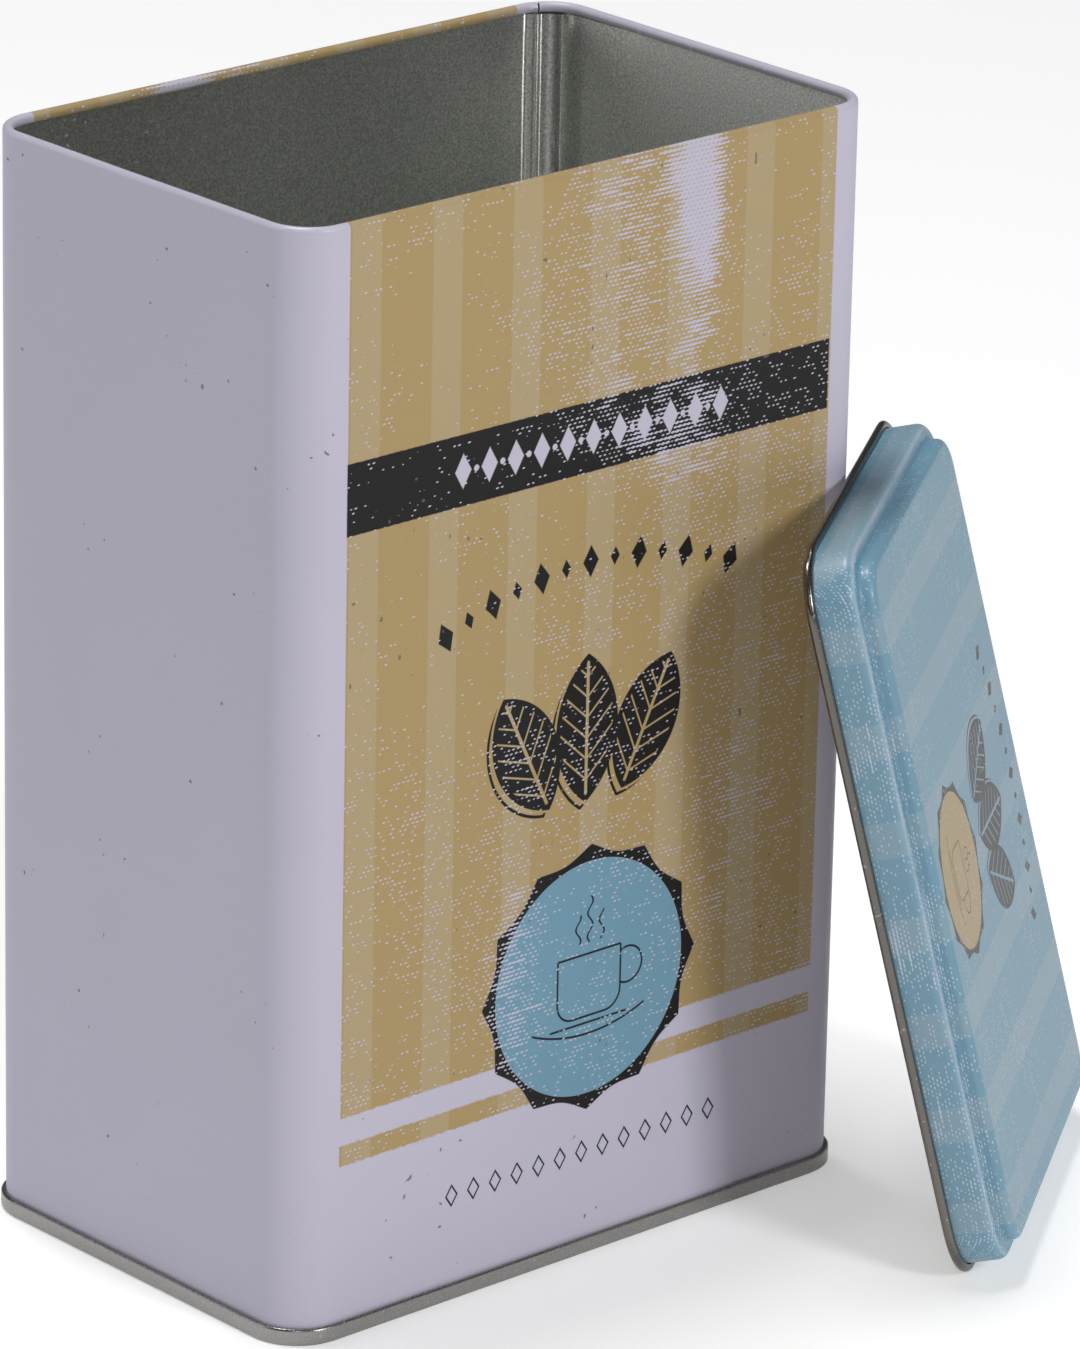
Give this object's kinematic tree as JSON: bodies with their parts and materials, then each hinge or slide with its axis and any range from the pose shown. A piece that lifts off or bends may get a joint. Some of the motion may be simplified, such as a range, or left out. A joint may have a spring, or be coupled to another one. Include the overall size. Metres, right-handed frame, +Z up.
{
  "type": "slip-lid tin",
  "caption": "Tall rectangular printed tin, open, with an inward rolled rim and a rolled foot seam, its loose slip lid leaning on one corner.",
  "frame": {"origin": "middle of the tin's body, on the plane of the seam it stands on", "axes": "+X along the wide front to the right, -Y out of the front, +Z up"},
  "size_m": [0.1718, 0.1361, 0.19],
  "materials": {
    "printed_wall": "gloss print over tinplate, speckled with wear",
    "raw_tinplate": "aged bare tinplate",
    "printed_lid": "gloss print over tinplate, speckled with wear"
  },
  "bodies": {
    "tin": {"wall": "printed_wall", "base": "raw_tinplate"},
    "lid": {"lid": "printed_lid"}
  },
  "joints": [
    {"name": "lid_tip", "type": "hinge", "parent": "tin", "child": "lid", "pos_m": [0.07443, -0.06911, 0.00655], "axis": [0.81, 0.5864, 0], "range_deg": [0, 103.9]}
  ]
}
